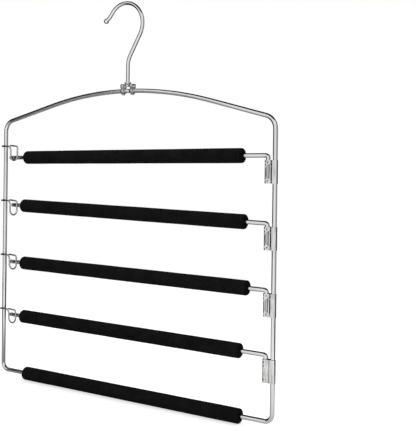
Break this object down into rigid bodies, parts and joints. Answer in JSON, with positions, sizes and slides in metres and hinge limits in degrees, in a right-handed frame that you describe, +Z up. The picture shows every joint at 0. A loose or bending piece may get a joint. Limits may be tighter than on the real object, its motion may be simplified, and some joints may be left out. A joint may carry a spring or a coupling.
{
  "type": "multi tier trouser hanger",
  "caption": "Flat wire hanger with swing-out trouser bars in foam sleeves, rolled sheet hinges, wire stops for the bar tips and a swivelling hook.",
  "frame": {"origin": "the seat inside the hook's bow, on the axis about which the hook turns, where a rail carries the hanger", "axes": "+Z up along the hook's stem, +X towards the hinge side of the frame, +Y to the back, the way the arms swing out"},
  "size_m": [0.3577, 0.0144, 0.414],
  "materials": {
    "hook_chrome": "polished",
    "sheet_chrome": "polished",
    "frame_chrome": "polished",
    "arm_chrome": "polished",
    "loop_chrome": "polished",
    "sleeve_foam": "matte"
  },
  "bodies": {
    "hook": {"hook_wire": "hook_chrome", "hook_washer": "hook_chrome"},
    "frame": {"frame_wire": "frame_chrome", "hook_clamp": "sheet_chrome", "base_sleeve": "sleeve_foam", "hinge_bracket_1": "sheet_chrome", "hinge_bracket_2": "sheet_chrome", "hinge_bracket_3": "sheet_chrome", "hinge_bracket_4": "sheet_chrome", "tip_loop_1": "loop_chrome", "tip_loop_2": "loop_chrome", "tip_loop_3": "loop_chrome", "tip_loop_4": "loop_chrome"},
    "arm_1": {"arm_wire_1": "arm_chrome", "arm_sleeve_1": "sleeve_foam"},
    "arm_2": {"arm_wire_2": "arm_chrome", "arm_sleeve_2": "sleeve_foam"},
    "arm_3": {"arm_wire_3": "arm_chrome", "arm_sleeve_3": "sleeve_foam"},
    "arm_4": {"arm_wire_4": "arm_chrome", "arm_sleeve_4": "sleeve_foam"}
  },
  "joints": [
    {"name": "hook_swivel", "type": "hinge", "parent": "hook", "child": "frame", "pos_m": [0, 0, -0.082], "axis": [0, 0, 1], "continuous": true},
    {"name": "arm_1_hinge", "type": "hinge", "parent": "frame", "child": "arm_1", "pos_m": [0.1672, 0, -0.1593], "axis": [0, 0, -1], "range_deg": [0, 142]},
    {"name": "arm_2_hinge", "type": "hinge", "parent": "frame", "child": "arm_2", "pos_m": [0.1672, 0, -0.2213], "axis": [0, 0, -1], "range_deg": [0, 142]},
    {"name": "arm_3_hinge", "type": "hinge", "parent": "frame", "child": "arm_3", "pos_m": [0.1672, 0, -0.2833], "axis": [0, 0, -1], "range_deg": [0, 142]},
    {"name": "arm_4_hinge", "type": "hinge", "parent": "frame", "child": "arm_4", "pos_m": [0.1672, 0, -0.3443], "axis": [0, 0, -1], "range_deg": [0, 142]}
  ]
}
